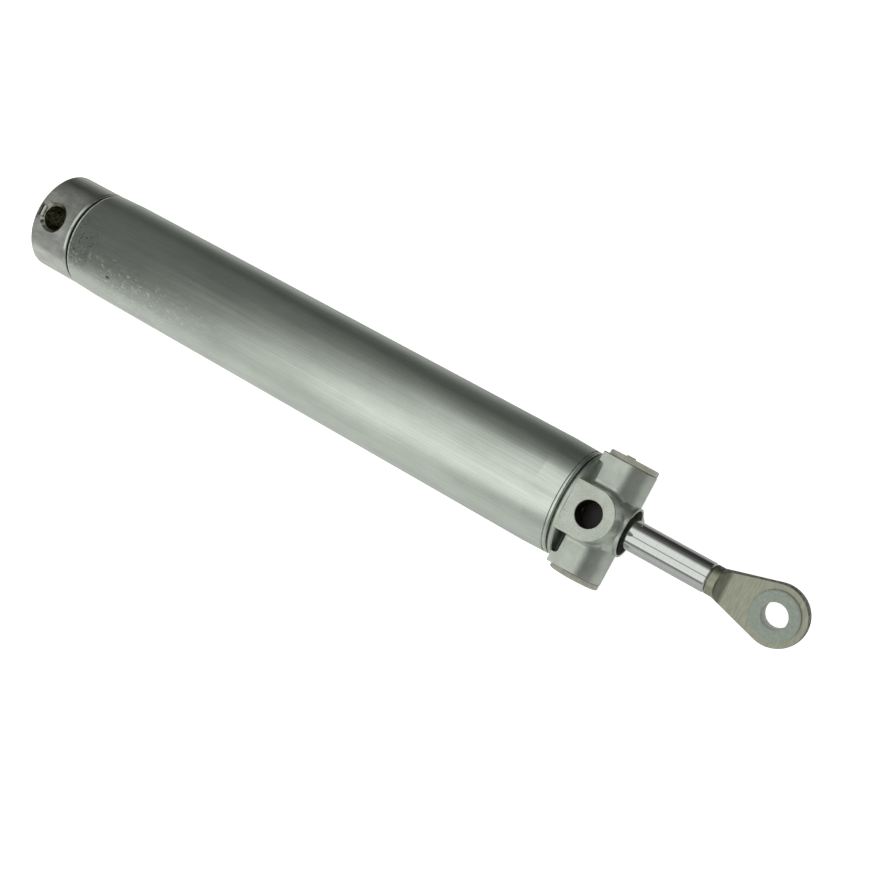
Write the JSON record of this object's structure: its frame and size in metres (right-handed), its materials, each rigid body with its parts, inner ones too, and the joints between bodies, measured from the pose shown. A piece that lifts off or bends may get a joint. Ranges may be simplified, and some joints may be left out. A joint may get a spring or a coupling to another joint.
{
  "type": "hydraulic cylinder",
  "caption": "Slim double-acting hydraulic cylinder that folds a convertible roof: ported end cap, drawn tube, cross head with trunnion bushes, chromed rod and bushed rod eye.",
  "frame": {"origin": "centre of the end cap's flat outer face, on the cylinder's axis", "axes": "+X along the axis from the cap to the rod eye, +Z towards the two ports, +Y along the left trunnion"},
  "size_m": [0.3014, 0.042, 0.036],
  "materials": {
    "tube_aluminium": "satin drawn, with fine lengthwise lines",
    "turned_aluminium": "fine turned",
    "cast_aluminium": "die-cast skin with machined faces",
    "rod_chrome": "ground and polished",
    "eye_steel": "plated, turned and milled",
    "spring_steel": "bright",
    "plain_steel": "plain",
    "bearing_bronze": "plain bearing",
    "seal_rubber": "matte",
    "ring_plastic": "matte",
    "trunnion_plastic": "moulded",
    "eye_plastic": "moulded"
  },
  "bodies": {
    "barrel": {"cylinder_tube": "tube_aluminium", "end_cap": "turned_aluminium", "rear_port_clip": "spring_steel", "cap_o_ring": "seal_rubber", "cap_backup_ring": "ring_plastic", "cap_lock_wire": "spring_steel", "head_casting": "cast_aluminium", "head_o_ring": "seal_rubber", "head_backup_ring": "ring_plastic", "head_lock_wire": "spring_steel", "head_spacer_ring": "plain_steel", "rod_guide_bush": "bearing_bronze", "seal_washer": "plain_steel", "rod_seal": "seal_rubber", "seal_retainer": "plain_steel", "seal_circlip": "spring_steel", "rod_wiper": "seal_rubber", "trunnion_bush_left": "trunnion_plastic", "trunnion_bush_right": "trunnion_plastic"},
    "piston_rings": {"piston_seal_rear": "seal_rubber", "piston_seal_front": "seal_rubber", "piston_guide_ring": "ring_plastic"},
    "rod": {"piston": "turned_aluminium", "piston_o_ring": "seal_rubber", "piston_nut": "plain_steel", "piston_rod": "rod_chrome", "rod_eye": "eye_steel", "eye_bush_upper": "eye_plastic", "eye_bush_lower": "eye_plastic"}
  },
  "joints": [
    {"name": "rod_slide", "type": "slide", "parent": "barrel", "child": "piston_rings", "axis": [1, 0, 0], "range_m": [0, 0.146]},
    {"name": "rod_turn", "type": "hinge", "parent": "piston_rings", "child": "rod", "pos_m": [0.26, 0, 0], "axis": [1, 0, 0], "continuous": true}
  ]
}
